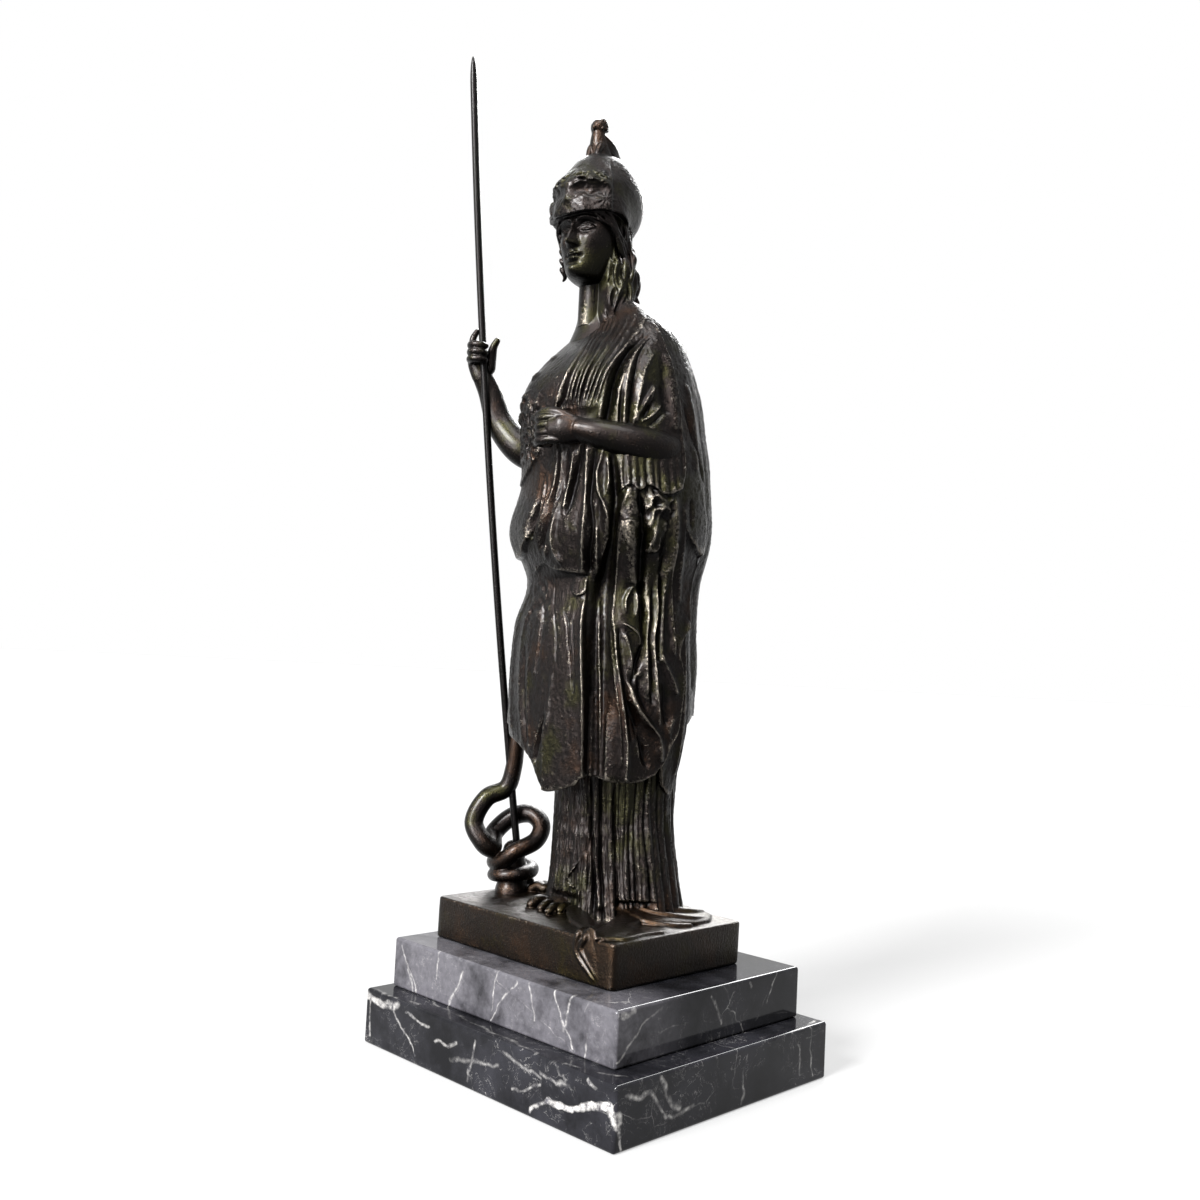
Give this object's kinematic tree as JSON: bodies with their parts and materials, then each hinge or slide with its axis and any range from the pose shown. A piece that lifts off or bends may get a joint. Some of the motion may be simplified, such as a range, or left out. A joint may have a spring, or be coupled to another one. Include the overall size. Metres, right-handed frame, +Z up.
{
  "type": "bronze goddess statue",
  "caption": "Cast bronze figure of a draped, helmeted goddess with a spear and a coiled snake, on a bronze base and two stepped black marble slabs.",
  "frame": {"origin": "centre of the lower marble step's underside", "axes": "+Z up, the figure faces -Y, +X is to the figure's left"},
  "size_m": [0.14, 0.118, 0.4154],
  "materials": {
    "marble": "polished black marble with white veins",
    "bronze": "cast bronze, dark brown-black patina, satin with worn ridges",
    "spear_bronze": "drawn bronze rod, near-black patina, smooth satin"
  },
  "bodies": {
    "root": {"marble_lower_step": "marble", "marble_upper_step": "marble", "bronze_figure": "bronze", "spear": "spear_bronze"}
  },
  "joints": []
}
